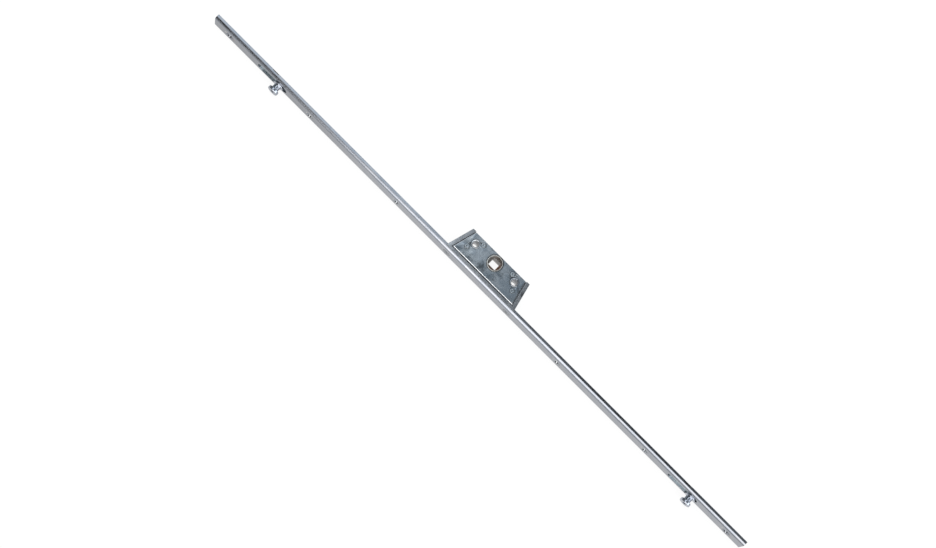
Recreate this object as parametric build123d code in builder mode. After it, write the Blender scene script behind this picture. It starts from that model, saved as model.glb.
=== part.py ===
"""Espagnolette window lock: a channel rail with a sliding drive bar, two locking cams and a rack gearbox.

Frame: the origin is on the spindle axis at mid-width. +X runs along the rail, +Y goes back into the sash,
and +Z points along the spindle, out of the covered side of the gearbox. The lock lies on its side,
with the drive bar at the +X end of its travel.
"""

import os
from math import acos, cos, degrees, pi, radians, sin, tan

from build123d import *

# Rail, a shallow steel channel that is open at the back
RAIL_LENGTH = 588.0
RAIL_WIDTH = 18.0
RAIL_DEPTH = 4.2
RAIL_WALL = 1.5
RAIL_CORNER = 2.4
BACKSET = 20.0
INNER_FIXING = 89.6
MIDDLE_FIXING_FROM_SLOT = 42.1
END_FIXING_MARGIN = 16.6
FIXING_RADIUS = 2.7
COUNTERSINK_DEPTH = 1.3
SLOT_MARGIN = 64.8
SLOT_END_GAP = 2.5
SLOT_SIDE_GAP = 0.2
CRIMP_LENGTH = 7.0
CRIMP_HEIGHT = 0.4
CRIMP_SINK = 0.4

# Drive bar, sliding inside the rail
BAR_THICKNESS = 2.1
BAR_SIDE_GAP = 0.15
BAR_FACE_GAP = 0.05
BAR_KEEP_GAP = 0.15
BAR_END_MARGIN = 1.5
BAR_END_ROUND = 2.0
STOP_GAP = 0.3
SLIDE_GAP = 0.2

# Guide bushes, flared into the rail's countersinks
BUSH_RADIUS = 4.2
BUSH_BORE_RADIUS = 2.3
BUSH_FLANGE_RADIUS = 6.0
BUSH_FLANGE_THICKNESS = 0.7

# Locking cams
CAM_BEYOND_SLOT = 0.9
CAM_HEIGHT = 7.5
CAM_HEAD_RADIUS = 4.75
CAM_HEAD_THICKNESS = 2.4
CAM_HEAD_ROUND = 0.5
CAM_NECK_FLARE = 0.6
CAM_SHAFT_RADIUS = 3.0
CAM_OFFSET = 0.6
CAM_COLLAR_RADIUS = 5.0
CAM_COLLAR_THICKNESS = 1.0
CAM_COLLAR_ROUND = 0.3
CAM_FACE_GAP = 0.1
CAM_SHANK_RADIUS = 2.5
CAM_GUIDE_RADIUS = 5.0
CAM_KEY_ACROSS_FLATS = 3.0
CAM_KEY_DEPTH = 1.8
CAM_WASHER_RADIUS = 4.6
CAM_WASHER_THICKNESS = 0.5
CAM_PEEN_RADIUS = 3.5
CAM_PEEN_THICKNESS = 0.5

# Rack and toothed follower
MODULE = 1.25
FULL_CIRCLE_TEETH = 17
SECTOR_TEETH = 7
PRESSURE_ANGLE = 20.0
TURN = 90.0
BACKLASH = 0.16
ROOT_FACTOR = 1.25
FLANK_STEPS = 6
RACK_LENGTH = 32.0
RACK_RIVET_STATION = 11.0
RACK_RIVET_RADIUS = 1.5
RACK_RIVET_HEAD_RADIUS = 2.5
RACK_RIVET_REACH = 3.0
SPINDLE_SQUARE = 7.1
SQUARE_LENGTH = 9.0
HUB_RADIUS = 6.6
HUB_RECESS_RADIUS = 5.5
HUB_SINK = 0.5
CORE_RADIUS = 6.0
RUNNING_GAP = 0.05
THRUST_GAP = 0.1

# Gear case, die cast, with a recessed panel on each side
CASE_HALF_AT_FOOT = 37.05
CASE_HALF_AT_FAR_EDGE = 31.3
CASE_REACH = 7.3
CASE_END_WALL = 3.3
CASE_FOOT_GAP = 0.15
CASE_FOOT_WALL = 0.8
CASE_FAR_WALL = 1.0
CASE_CORNER_ROUND = 0.8
PANEL_SINK = 1.3
PANEL_THICKNESS = 2.5
SKIRT_LENGTH = 1.4
NOTCH_GAP = 0.1
COVER_EDGE_GAP = 0.35
COVER_FOOT_GAP = 1.15
COVER_FAR_GAP = 0.3
COVER_CHAMFER = 0.4
CAVITY_HALF_LENGTH = 27.0
PILLAR_WALL = 1.0
CASE_FIXING = 33.4
CASE_BOSS_RADIUS = 3.2
CASE_RIVET_RADIUS = 1.9
CASE_RIVET_HEAD_RADIUS = 3.2
CASE_RIVET_REACH = 6.5
PUNCH_RADIUS = 1.3
PUNCH_DEPTH = 0.3

# Handle screw bushes and the rivets that hold the cover
SCREW_SPACING = 43.0
SCREW_RADIUS = 2.65
SCREW_BUSH_RADIUS = 3.75
SCREW_BUSH_PROUD = 0.2
SCREW_LEAD_IN = 0.45
SCREW_RELIEF_RADIUS = 3.2
SCREW_RELIEF_DEPTH = 1.5
COVER_RIVETS = ((16.2, 3.8), (25.1, -6.0))
COVER_RIVET_RADIUS = 1.4
COVER_RIVET_HEAD_RADIUS = 2.0
COVER_RIVET_HEAD_HEIGHT = 0.25
COVER_RIVET_LENGTH = 6.5
COVER_RIVET_DIMPLE_RADIUS = 0.8

# Stations along X, on both sides of the spindle
END_FIXING = RAIL_LENGTH / 2 - END_FIXING_MARGIN
SLOT_STATION = RAIL_LENGTH / 2 - SLOT_MARGIN
CAM_STATION = SLOT_STATION + CAM_BEYOND_SLOT
FIXING_PAIRS = (INNER_FIXING, SLOT_STATION - MIDDLE_FIXING_FROM_SLOT)

# Levels along Y, from the rail's face to the far edge of the case
FRONT_Y = -BACKSET
RAIL_INNER_Y = FRONT_Y + RAIL_WALL
RAIL_BACK_Y = FRONT_Y + RAIL_DEPTH
BAR_FRONT_Y = RAIL_INNER_Y + BAR_FACE_GAP
BAR_BACK_Y = BAR_FRONT_Y + BAR_THICKNESS
KEEPER_Y = BAR_BACK_Y + BAR_KEEP_GAP
FOOT_Y = BAR_BACK_Y + CASE_FOOT_GAP
SKIRT_Y = FOOT_Y - SKIRT_LENGTH
COVER_FOOT_Y = FOOT_Y + CASE_FOOT_WALL + COVER_FOOT_GAP

# Levels along Z
HALF_WIDTH = RAIL_WIDTH / 2
INNER_HALF_WIDTH = HALF_WIDTH - RAIL_WALL
PANEL_Z = HALF_WIDTH - PANEL_SINK
CAVITY_Z = PANEL_Z - PANEL_THICKNESS
GEAR_HALF_WIDTH = CAVITY_Z - THRUST_GAP

# Gear geometry and the travel that a quarter turn gives
PITCH_RADIUS = MODULE * FULL_CIRCLE_TEETH / 2
TIP_RADIUS = PITCH_RADIUS + MODULE
ROOT_RADIUS = PITCH_RADIUS - ROOT_FACTOR * MODULE
BASE_RADIUS = PITCH_RADIUS * cos(radians(PRESSURE_ANGLE))
TOOTH_PITCH = pi * MODULE
TOOTH_ANGLE = 360 / FULL_CIRCLE_TEETH
TRAVEL = PITCH_RADIUS * radians(TURN)
REST_SHIFT = TRAVEL / 2
RACK_LINE_Y = -PITCH_RADIUS

# Places that follow from the travel
SLOT_LENGTH = TRAVEL + 2 * CAM_GUIDE_RADIUS + 2 * SLOT_END_GAP
SLOT_WIDTH = 2 * (CAM_GUIDE_RADIUS + SLOT_SIDE_GAP)
COUNTERSINK_RADIUS = FIXING_RADIUS + COUNTERSINK_DEPTH
BAR_WIDTH = 2 * (INNER_HALF_WIDTH - BAR_SIDE_GAP)
BAR_LENGTH = 2 * (SLOT_STATION + SLOT_LENGTH / 2 + TRAVEL / 2 + BAR_END_MARGIN)
CHANNEL_HALF_LENGTH = RACK_LENGTH / 2 + TRAVEL / 2 + STOP_GAP

front_plane = Plane.XZ.offset(BACKSET)


def both_sides(stations):
    """Give each station on both sides of the spindle."""
    return [side * station for station in stations for side in (-1, 1)]


def case_half_length(y):
    """Half the length of the case at a depth y, where its ends lean in towards the far edge."""
    share = (y - RAIL_BACK_Y) / (CASE_REACH - RAIL_BACK_Y)
    return CASE_HALF_AT_FOOT + share * (CASE_HALF_AT_FAR_EDGE - CASE_HALF_AT_FOOT)


def trapezoid(low_y, high_y, inset):
    """Corners of the case's outline between two depths, drawn in by an inset at both ends."""
    low_half = case_half_length(low_y) - inset
    high_half = case_half_length(high_y) - inset
    return [(-low_half, low_y), (low_half, low_y), (high_half, high_y), (-high_half, high_y)]


def turned(station, corners):
    """Revolve a closed outline of (radius, y) corners about the line x = station, z = 0."""
    with BuildPart() as piece:
        with BuildSketch(Plane.XY.shift_origin((station, 0, 0))):
            with BuildLine():
                Polyline(*corners, close=True)
            make_face()
        revolve(axis=Axis((station, 0, 0), (0, 1, 0)))
    return piece


def save(piece, name):
    """Label a finished piece and write it under its name."""
    piece.part.label = name
    export_step(piece.part, f"parts/{name}.step")


os.makedirs("parts", exist_ok=True)


# Rail
with BuildPart() as rail:
    with BuildSketch(Plane.YZ):
        with Locations(((FRONT_Y + RAIL_BACK_Y) / 2, 0)):
            outline = Rectangle(RAIL_DEPTH, RAIL_WIDTH)
        front_corners = outline.vertices().group_by(Axis.X)[0]
        fillet(front_corners, radius=RAIL_CORNER)
        with Locations(((RAIL_INNER_Y + RAIL_BACK_Y) / 2, 0)):
            Rectangle(RAIL_BACK_Y - RAIL_INNER_Y, 2 * INNER_HALF_WIDTH, mode=Mode.SUBTRACT)
    extrude(amount=RAIL_LENGTH / 2, both=True)
    notch_depth = RAIL_BACK_Y - SKIRT_Y + NOTCH_GAP
    with Locations((0, RAIL_BACK_Y - notch_depth / 2, 0)):
        Box(2 * (CASE_HALF_AT_FOOT + NOTCH_GAP), notch_depth, 2 * RAIL_WIDTH, mode=Mode.SUBTRACT)
    for station in both_sides([SLOT_STATION]):
        for side in (-1, 1):
            keeper_z = side * (INNER_HALF_WIDTH - CRIMP_SINK / 2)
            with Locations((station, (KEEPER_Y + RAIL_BACK_Y) / 2, keeper_z)):
                Box(CRIMP_LENGTH, RAIL_BACK_Y - KEEPER_Y, CRIMP_SINK)
            dent_z = side * (HALF_WIDTH - CRIMP_SINK / 2)
            with Locations((station, RAIL_BACK_Y - CRIMP_HEIGHT / 2, dent_z)):
                Box(CRIMP_LENGTH, CRIMP_HEIGHT, CRIMP_SINK, mode=Mode.SUBTRACT)
    with BuildSketch(front_plane):
        with Locations([(station, 0) for station in both_sides([SLOT_STATION])]):
            SlotOverall(SLOT_LENGTH, SLOT_WIDTH)
    extrude(amount=-RAIL_WALL, mode=Mode.SUBTRACT)
    with Locations(front_plane):
        with Locations([(station, 0) for station in both_sides([END_FIXING, *FIXING_PAIRS])]):
            CounterSinkHole(FIXING_RADIUS, COUNTERSINK_RADIUS, RAIL_DEPTH, counter_sink_angle=90)
        with Locations([(station, 0) for station in both_sides([CASE_FIXING])]):
            CounterSinkHole(CASE_RIVET_RADIUS, CASE_RIVET_HEAD_RADIUS, RAIL_DEPTH, counter_sink_angle=90)
save(rail, "rail")


# Drive bar, with slots that run over the guide bushes and the case's feet
with BuildPart() as drive_bar:
    bar_plane = Plane.XZ.offset(-BAR_FRONT_Y)
    with BuildSketch(bar_plane):
        with Locations((REST_SHIFT, 0)):
            RectangleRounded(BAR_LENGTH, BAR_WIDTH, BAR_END_ROUND)
        with Locations([(station + REST_SHIFT, 0) for station in both_sides(FIXING_PAIRS)]):
            bush_slot_width = 2 * (BUSH_RADIUS + SLIDE_GAP)
            SlotOverall(TRAVEL + 2 * (BUSH_RADIUS + STOP_GAP), bush_slot_width, mode=Mode.SUBTRACT)
        with Locations([(station + REST_SHIFT, 0) for station in both_sides([CASE_FIXING])]):
            boss_slot_width = 2 * (CASE_BOSS_RADIUS + SLIDE_GAP)
            SlotOverall(TRAVEL + 2 * (CASE_BOSS_RADIUS + STOP_GAP), boss_slot_width, mode=Mode.SUBTRACT)
        with Locations([(station + REST_SHIFT, 0) for station in both_sides([CAM_STATION])]):
            Circle(CAM_SHANK_RADIUS + RUNNING_GAP, mode=Mode.SUBTRACT)
    extrude(amount=-BAR_THICKNESS)
    with Locations(bar_plane):
        with Locations([(station + REST_SHIFT, 0) for station in both_sides([RACK_RIVET_STATION])]):
            CounterSinkHole(RACK_RIVET_RADIUS, RACK_RIVET_HEAD_RADIUS, BAR_THICKNESS, counter_sink_angle=90)
save(drive_bar, "drive_bar")


# Guide bushes at the inner screw holes, each flared into the rail and flanged behind the bar
def guide_bush(station):
    """Make the bush that lines one screw hole and carries the bar."""
    lip = FIXING_RADIUS - BUSH_BORE_RADIUS
    flange_y = BAR_BACK_Y + BAR_KEEP_GAP
    return turned(
        station,
        [
            (COUNTERSINK_RADIUS - lip, FRONT_Y),
            (COUNTERSINK_RADIUS, FRONT_Y),
            (FIXING_RADIUS, FRONT_Y + COUNTERSINK_DEPTH),
            (FIXING_RADIUS, RAIL_INNER_Y),
            (BUSH_RADIUS, RAIL_INNER_Y),
            (BUSH_RADIUS, flange_y),
            (BUSH_FLANGE_RADIUS, flange_y),
            (BUSH_FLANGE_RADIUS, flange_y + BUSH_FLANGE_THICKNESS),
            (BUSH_BORE_RADIUS, flange_y + BUSH_FLANGE_THICKNESS),
            (BUSH_BORE_RADIUS, FRONT_Y + COUNTERSINK_DEPTH),
        ],
    )


for number, station in enumerate(sorted(both_sides(FIXING_PAIRS)), start=1):
    save(guide_bush(station), f"guide_bush_{number}")


# Locking cams: each has a shank in the bar, a guide in the slot under a collar, and an off-centre shaft
# and head
def cam_stud(station):
    """Make one cam, from the peened tail behind the bar to the keyed head in front of the rail."""
    washer_y = BAR_BACK_Y + CAM_WASHER_THICKNESS
    collar_back_y = FRONT_Y - CAM_FACE_GAP
    shaft_y = collar_back_y - CAM_COLLAR_THICKNESS
    head_y = FRONT_Y - CAM_HEIGHT
    neck_y = head_y + CAM_HEAD_THICKNESS
    with BuildPart() as stud:
        add(
            turned(
                station,
                [
                    (0, shaft_y),
                    (CAM_SHANK_RADIUS, shaft_y),
                    (CAM_SHANK_RADIUS, collar_back_y),
                    (CAM_GUIDE_RADIUS, collar_back_y),
                    (CAM_GUIDE_RADIUS, BAR_FRONT_Y),
                    (CAM_SHANK_RADIUS, BAR_FRONT_Y),
                    (CAM_SHANK_RADIUS, washer_y),
                    (CAM_PEEN_RADIUS, washer_y),
                    (CAM_PEEN_RADIUS, washer_y + CAM_PEEN_THICKNESS),
                    (0, washer_y + CAM_PEEN_THICKNESS),
                ],
            ).part
        )
        shaft = turned(
            station,
            [
                (0, head_y),
                (CAM_HEAD_RADIUS, head_y),
                (CAM_HEAD_RADIUS, neck_y),
                (CAM_SHAFT_RADIUS, neck_y + CAM_NECK_FLARE),
                (CAM_SHAFT_RADIUS, shaft_y),
                (0, shaft_y),
            ],
        )
        with Locations((0, 0, -CAM_OFFSET)):
            add(shaft.part)
        fillet(stud.faces().sort_by(Axis.Y)[0].outer_wire().edges(), radius=CAM_HEAD_ROUND)
        with BuildSketch(Plane.XZ.offset(-head_y)):
            with Locations((station, -CAM_OFFSET)):
                RegularPolygon(CAM_KEY_ACROSS_FLATS / 2, 6, major_radius=False)
        extrude(amount=-CAM_KEY_DEPTH, mode=Mode.SUBTRACT)
    return stud


def ring(station, low_y, high_y, bore_radius, outer_radius, edge_round):
    """Make a flat ring about the line x = station between two depths."""
    corners = [(bore_radius, low_y), (outer_radius, low_y), (outer_radius, high_y), (bore_radius, high_y)]
    with BuildPart() as piece:
        add(turned(station, corners).part)
        if edge_round > 0:
            fillet(piece.faces().sort_by(Axis.Y)[0].outer_wire().edges(), radius=edge_round)
    return piece


for side_name, side in (("left", -1), ("right", 1)):
    cam_x = side * CAM_STATION + REST_SHIFT
    collar_y = FRONT_Y - CAM_FACE_GAP
    bore_radius = CAM_SHANK_RADIUS + RUNNING_GAP
    save(cam_stud(cam_x), f"cam_{side_name}")
    outer_y = collar_y - CAM_COLLAR_THICKNESS
    collar = ring(cam_x, outer_y, collar_y, CAM_SHANK_RADIUS, CAM_COLLAR_RADIUS, CAM_COLLAR_ROUND)
    save(collar, f"cam_collar_{side_name}")
    washer_y = BAR_BACK_Y + CAM_WASHER_THICKNESS
    washer = ring(cam_x, BAR_BACK_Y, washer_y, bore_radius, CAM_WASHER_RADIUS, 0)
    save(washer, f"cam_washer_{side_name}")


# Rack, standing on the bar, with its gaps on the pitch line
def rack_outline():
    """Corners of the rack's side view, with straight flanks at the pressure angle."""
    slope = tan(radians(PRESSURE_ANGLE))
    tip_y = RACK_LINE_Y + MODULE
    root_y = RACK_LINE_Y - ROOT_FACTOR * MODULE
    half_gap = TOOTH_PITCH / 4 + BACKLASH / 4
    corners = [(-RACK_LENGTH / 2, BAR_BACK_Y), (-RACK_LENGTH / 2, tip_y)]
    for number in range(SECTOR_TEETH):
        centre = (number - (SECTOR_TEETH - 1) / 2) * TOOTH_PITCH
        half_mouth = half_gap + MODULE * slope
        half_floor = half_gap - ROOT_FACTOR * MODULE * slope
        corners += [(centre - half_mouth, tip_y), (centre - half_floor, root_y)]
        corners += [(centre + half_floor, root_y), (centre + half_mouth, tip_y)]
    corners += [(RACK_LENGTH / 2, tip_y), (RACK_LENGTH / 2, BAR_BACK_Y)]
    return [(x + REST_SHIFT, y) for x, y in corners]


with BuildPart() as rack:
    with BuildSketch():
        with BuildLine():
            Polyline(*rack_outline(), close=True)
        make_face()
    extrude(amount=GEAR_HALF_WIDTH, both=True)
    with BuildSketch(Plane.XZ.offset(-BAR_BACK_Y)):
        with Locations([(station + REST_SHIFT, 0) for station in both_sides([RACK_RIVET_STATION])]):
            Circle(RACK_RIVET_RADIUS)
    extrude(amount=-RACK_RIVET_REACH, mode=Mode.SUBTRACT)
save(rack, "rack")

with BuildPart() as rack_rivets:
    for station in both_sides([RACK_RIVET_STATION]):
        head_depth = RACK_RIVET_HEAD_RADIUS - RACK_RIVET_RADIUS
        rivet = turned(
            station + REST_SHIFT,
            [
                (0, BAR_FRONT_Y),
                (RACK_RIVET_HEAD_RADIUS, BAR_FRONT_Y),
                (RACK_RIVET_RADIUS, BAR_FRONT_Y + head_depth),
                (RACK_RIVET_RADIUS, BAR_BACK_Y + RACK_RIVET_REACH),
                (0, BAR_BACK_Y + RACK_RIVET_REACH),
            ],
        )
        add(rivet.part)
save(rack_rivets, "rack_rivets")


# Follower: a toothed sector on two hubs, with a square hole for the handle's spindle
def involute_angle(radius):
    """Angle in degrees that an involute of the base circle has turned through at a radius."""
    contact = acos(min(1, BASE_RADIUS / radius))
    return degrees(tan(contact) - contact)


def tooth_corners(centre_angle):
    """Corners of one gear tooth, from below its root round over its tip."""
    half_at_pitch = degrees((TOOTH_PITCH / 2 - BACKLASH / 2) / 2 / PITCH_RADIUS)
    radii = [BASE_RADIUS + (TIP_RADIUS - BASE_RADIUS) * step / FLANK_STEPS for step in range(FLANK_STEPS + 1)]
    flank = [(r, half_at_pitch + involute_angle(PITCH_RADIUS) - involute_angle(r)) for r in radii]
    flank.insert(0, (ROOT_RADIUS - MODULE, flank[0][1]))
    points = [(r, centre_angle - half) for r, half in flank]
    points += [(r, centre_angle + half) for r, half in reversed(flank)]
    return [(r * cos(radians(angle)), r * sin(radians(angle))) for r, angle in points]


with BuildPart() as follower:
    sector_half = SECTOR_TEETH * TOOTH_ANGLE / 2
    sector_middle = TURN / 2 - 90
    with BuildSketch(Plane.XY.offset(-GEAR_HALF_WIDTH)):
        with BuildLine():
            root_arc = CenterArc((0, 0), ROOT_RADIUS, sector_middle - sector_half, 2 * sector_half)
            Polyline(root_arc @ 1, (0, 0), root_arc @ 0)
        make_face()
        for number in range(SECTOR_TEETH):
            with BuildLine():
                tooth_angle = sector_middle + (number - (SECTOR_TEETH - 1) / 2) * TOOTH_ANGLE
                Polyline(*tooth_corners(tooth_angle), close=True)
            make_face()
        Circle(CORE_RADIUS)
    extrude(amount=2 * GEAR_HALF_WIDTH)
    with BuildSketch(Plane.XY.offset(HUB_SINK - PANEL_Z)):
        Circle(HUB_RADIUS)
    extrude(amount=PANEL_Z - HUB_SINK - GEAR_HALF_WIDTH)
    with BuildSketch(Plane.XY.offset(GEAR_HALF_WIDTH)):
        Circle(HUB_RADIUS)
    extrude(amount=PANEL_Z - HUB_SINK - GEAR_HALF_WIDTH)
    for side in (-1, 1):
        with BuildSketch(Plane.XY.offset(side * SQUARE_LENGTH / 2)):
            Circle(HUB_RECESS_RADIUS)
        extrude(amount=side * HALF_WIDTH, mode=Mode.SUBTRACT)
    with BuildSketch(Plane.XY.offset(-HALF_WIDTH)):
        Rectangle(SPINDLE_SQUARE, SPINDLE_SQUARE)
    extrude(amount=RAIL_WIDTH, mode=Mode.SUBTRACT)
save(follower, "follower")


# Gear case
screw_places = [(side * SCREW_SPACING / 2, 0) for side in (-1, 1)]
cover_rivet_places = [(side * x, y) for x, y in COVER_RIVETS for side in (-1, 1)]

with BuildPart() as gear_case:
    with BuildSketch(Plane.XY.offset(-PANEL_Z)):
        body = Polygon(*trapezoid(FOOT_Y, CASE_REACH, 0), align=None)
        fillet(body.vertices().group_by(Axis.Y)[-1], radius=CASE_CORNER_ROUND)
    extrude(amount=PANEL_Z + CAVITY_Z)
    with BuildSketch():
        border = Polygon(*trapezoid(FOOT_Y, CASE_REACH, 0), align=None)
        fillet(border.vertices().group_by(Axis.Y)[-1], radius=CASE_CORNER_ROUND)
        panel_foot_y = FOOT_Y + CASE_FOOT_WALL
        Polygon(*trapezoid(panel_foot_y, 2 * CASE_REACH, CASE_END_WALL), align=None, mode=Mode.SUBTRACT)
    extrude(amount=HALF_WIDTH, both=True)
    for side in (-1, 1):
        with Locations((0, (FOOT_Y + SKIRT_Y) / 2, side * (HALF_WIDTH - RAIL_WALL / 2))):
            Box(2 * CASE_HALF_AT_FOOT, SKIRT_LENGTH, RAIL_WALL)
    with BuildSketch(Plane.XZ.offset(-FOOT_Y)):
        with Locations([(station, 0) for station in both_sides([CASE_FIXING])]):
            Circle(CASE_BOSS_RADIUS)
    extrude(amount=FOOT_Y - RAIL_INNER_Y)
    with BuildSketch(Plane.XY.offset(-CAVITY_Z)):
        cavity_far_y = CASE_REACH - CASE_FAR_WALL
        channel_top_y = RACK_LINE_Y + MODULE + SLIDE_GAP
        with Locations((0, (channel_top_y + cavity_far_y) / 2)):
            Rectangle(2 * CAVITY_HALF_LENGTH, cavity_far_y - channel_top_y)
        with Locations((0, (FOOT_Y - CASE_FOOT_WALL + channel_top_y) / 2)):
            Rectangle(2 * CHANNEL_HALF_LENGTH, channel_top_y - FOOT_Y + CASE_FOOT_WALL)
        with Locations(screw_places):
            Circle(SCREW_BUSH_RADIUS + PILLAR_WALL, mode=Mode.SUBTRACT)
        with Locations(cover_rivet_places):
            Circle(COVER_RIVET_RADIUS + PILLAR_WALL, mode=Mode.SUBTRACT)
    extrude(amount=2 * CAVITY_Z, mode=Mode.SUBTRACT)
    with BuildSketch(Plane.XY.offset(-HALF_WIDTH)):
        Circle(HUB_RADIUS + RUNNING_GAP)
        with Locations(screw_places):
            Circle(SCREW_BUSH_RADIUS)
    extrude(amount=RAIL_WIDTH, mode=Mode.SUBTRACT)
    with BuildSketch(Plane.XY.offset(CAVITY_Z)):
        with Locations(cover_rivet_places):
            Circle(COVER_RIVET_RADIUS)
    extrude(amount=PANEL_THICKNESS - COVER_RIVET_LENGTH, mode=Mode.SUBTRACT)
    with BuildSketch(Plane.XZ.offset(-RAIL_INNER_Y)):
        with Locations([(station, 0) for station in both_sides([CASE_FIXING])]):
            Circle(CASE_RIVET_RADIUS)
    extrude(amount=-CASE_RIVET_REACH, mode=Mode.SUBTRACT)
save(gear_case, "gear_case")


# Cover plate
with BuildPart() as case_cover:
    with BuildSketch(Plane.XY.offset(CAVITY_Z)):
        cover_inset = CASE_END_WALL + COVER_EDGE_GAP
        Polygon(*trapezoid(COVER_FOOT_Y, CASE_REACH - COVER_FAR_GAP, cover_inset), align=None)
        Circle(HUB_RADIUS + RUNNING_GAP, mode=Mode.SUBTRACT)
        with Locations(screw_places):
            Circle(SCREW_BUSH_RADIUS, mode=Mode.SUBTRACT)
        with Locations(cover_rivet_places):
            Circle(COVER_RIVET_RADIUS, mode=Mode.SUBTRACT)
    extrude(amount=PANEL_THICKNESS)
    rim = case_cover.faces().sort_by(Axis.Z)[-1].outer_wire().edges()
    chamfer(rim.sort_by(Axis.Y)[:-1], length=COVER_CHAMFER)
save(case_cover, "case_cover")


# Bushes for the handle screws
for side_name, (screw_x, screw_y) in zip(("left", "right"), screw_places):
    with BuildPart() as screw_bush:
        with BuildSketch(Plane.XY.offset(-PANEL_Z)):
            with Locations((screw_x, screw_y)):
                Circle(SCREW_BUSH_RADIUS)
                Circle(SCREW_RADIUS, mode=Mode.SUBTRACT)
        extrude(amount=2 * PANEL_Z + SCREW_BUSH_PROUD)
        with BuildSketch(Plane.XY.offset(-PANEL_Z)):
            with Locations((screw_x, screw_y)):
                Circle(SCREW_RELIEF_RADIUS)
        extrude(amount=SCREW_RELIEF_DEPTH, mode=Mode.SUBTRACT)
        top_face = screw_bush.faces().sort_by(Axis.Z)[-1]
        chamfer(top_face.inner_wires()[0].edges(), length=SCREW_LEAD_IN)
    save(screw_bush, f"screw_bush_{side_name}")


# Rivets that hold the case to the rail, flush with its face
with BuildPart() as case_rivets:
    for station in both_sides([CASE_FIXING]):
        head_depth = CASE_RIVET_HEAD_RADIUS - CASE_RIVET_RADIUS
        rivet = turned(
            station,
            [
                (0, FRONT_Y + PUNCH_DEPTH),
                (PUNCH_RADIUS - PUNCH_DEPTH, FRONT_Y + PUNCH_DEPTH),
                (PUNCH_RADIUS, FRONT_Y),
                (CASE_RIVET_HEAD_RADIUS, FRONT_Y),
                (CASE_RIVET_RADIUS, FRONT_Y + head_depth),
                (CASE_RIVET_RADIUS, RAIL_INNER_Y + CASE_RIVET_REACH),
                (0, RAIL_INNER_Y + CASE_RIVET_REACH),
            ],
        )
        add(rivet.part)
save(case_rivets, "case_rivets")


# Rivets that hold the cover to the case
with BuildPart() as cover_rivets:
    with BuildSketch(Plane.XY.offset(PANEL_Z - COVER_RIVET_LENGTH)):
        with Locations(cover_rivet_places):
            Circle(COVER_RIVET_RADIUS)
    extrude(amount=COVER_RIVET_LENGTH)
    with BuildSketch(Plane.XY.offset(PANEL_Z)):
        with Locations(cover_rivet_places):
            Circle(COVER_RIVET_HEAD_RADIUS)
    extrude(amount=COVER_RIVET_HEAD_HEIGHT)
    with BuildSketch(Plane.XY.offset(PANEL_Z + COVER_RIVET_HEAD_HEIGHT)):
        with Locations(cover_rivet_places):
            Circle(COVER_RIVET_DIMPLE_RADIUS)
    extrude(amount=-COVER_RIVET_HEAD_HEIGHT, mode=Mode.SUBTRACT)
save(cover_rivets, "cover_rivets")

print(f"travel {TRAVEL:.3f} mm, pitch radius {PITCH_RADIUS:.4f} mm, rest shift {REST_SHIFT:.3f} mm")
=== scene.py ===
"""Looks of the espagnolette window lock: refined pieces, metal finishes, studio and camera."""

import logging
import math
from dataclasses import dataclass
from enum import Enum
from typing import Protocol

import bmesh
import bpy
from mathutils import Matrix, Vector


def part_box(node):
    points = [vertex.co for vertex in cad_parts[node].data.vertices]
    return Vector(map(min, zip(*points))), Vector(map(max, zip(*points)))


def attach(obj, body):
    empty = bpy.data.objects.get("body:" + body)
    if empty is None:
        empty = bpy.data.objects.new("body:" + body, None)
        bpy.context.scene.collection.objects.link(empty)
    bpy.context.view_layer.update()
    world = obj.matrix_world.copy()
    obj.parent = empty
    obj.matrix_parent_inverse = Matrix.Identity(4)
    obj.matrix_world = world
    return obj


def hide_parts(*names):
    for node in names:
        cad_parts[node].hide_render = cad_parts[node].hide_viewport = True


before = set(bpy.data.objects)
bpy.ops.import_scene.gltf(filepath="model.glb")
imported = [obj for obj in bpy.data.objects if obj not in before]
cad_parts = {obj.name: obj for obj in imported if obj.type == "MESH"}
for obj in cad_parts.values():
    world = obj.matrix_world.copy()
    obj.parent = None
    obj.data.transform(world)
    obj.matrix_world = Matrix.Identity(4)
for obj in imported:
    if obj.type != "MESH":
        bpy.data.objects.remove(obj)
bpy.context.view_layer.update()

log = logging.getLogger("espagnolette")

MM = 0.001
PHOTO_WIDTH_PX = 936
TURNED = "turned"
MERGE_MM = 0.002
SHARP_TURN_DEG = 38.0
CHAMFER_DEG = 45.0

Socket = bpy.types.NodeSocket
Colour = tuple[float, float, float]
Vector3 = tuple[float, float, float]
Value = float | int | bool | tuple[float, ...] | Socket


class Body(Enum):
    """The bodies of the lock that pieces ride on."""

    FRAME = "frame"
    SLIDER = "slider"
    LEFT_CAM = "left_cam"
    RIGHT_CAM = "right_cam"
    FOLLOWER = "spindle_follower"


class Slot(Enum):
    """The material slots of the record."""

    RAIL = "rail_plate"
    BAR = "bar_plate"
    BUSH = "bush_steel"
    CAM = "cam_steel"
    CASE = "case_zinc"
    COVER = "cover_zinc"
    RACK = "rack_steel"
    FOLLOWER = "follower_bronze"
    RIVET = "rivet_steel"


class Grain(Enum):
    """How a metal surface was worked, which sets the run of its fine lines."""

    ROLLED = "lines along the strip"
    TURNED = "rings round the axis"
    TUMBLED = "no direction"


class Facing(Enum):
    """Which way the axis of a turned part points, as a turn from +Z."""

    COVER_SIDE = (0.0, 0.0, 0.0)
    RAIL_FRONT = (math.pi / 2, 0.0, 0.0)


def tint(code: str) -> Colour:
    """Linear colour of a screen colour."""
    shares = [int(code[i:i + 2], 16) / 255 for i in (0, 2, 4)]
    return tuple(s / 12.92 if s <= 0.04045 else ((s + 0.055) / 1.055) ** 2.4 for s in shares)


@dataclass(frozen=True)
class Ramp:
    """A value that passes softly from one level to another between two places."""

    start: float
    end: float
    first: float = 0.0
    last: float = 1.0


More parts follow.
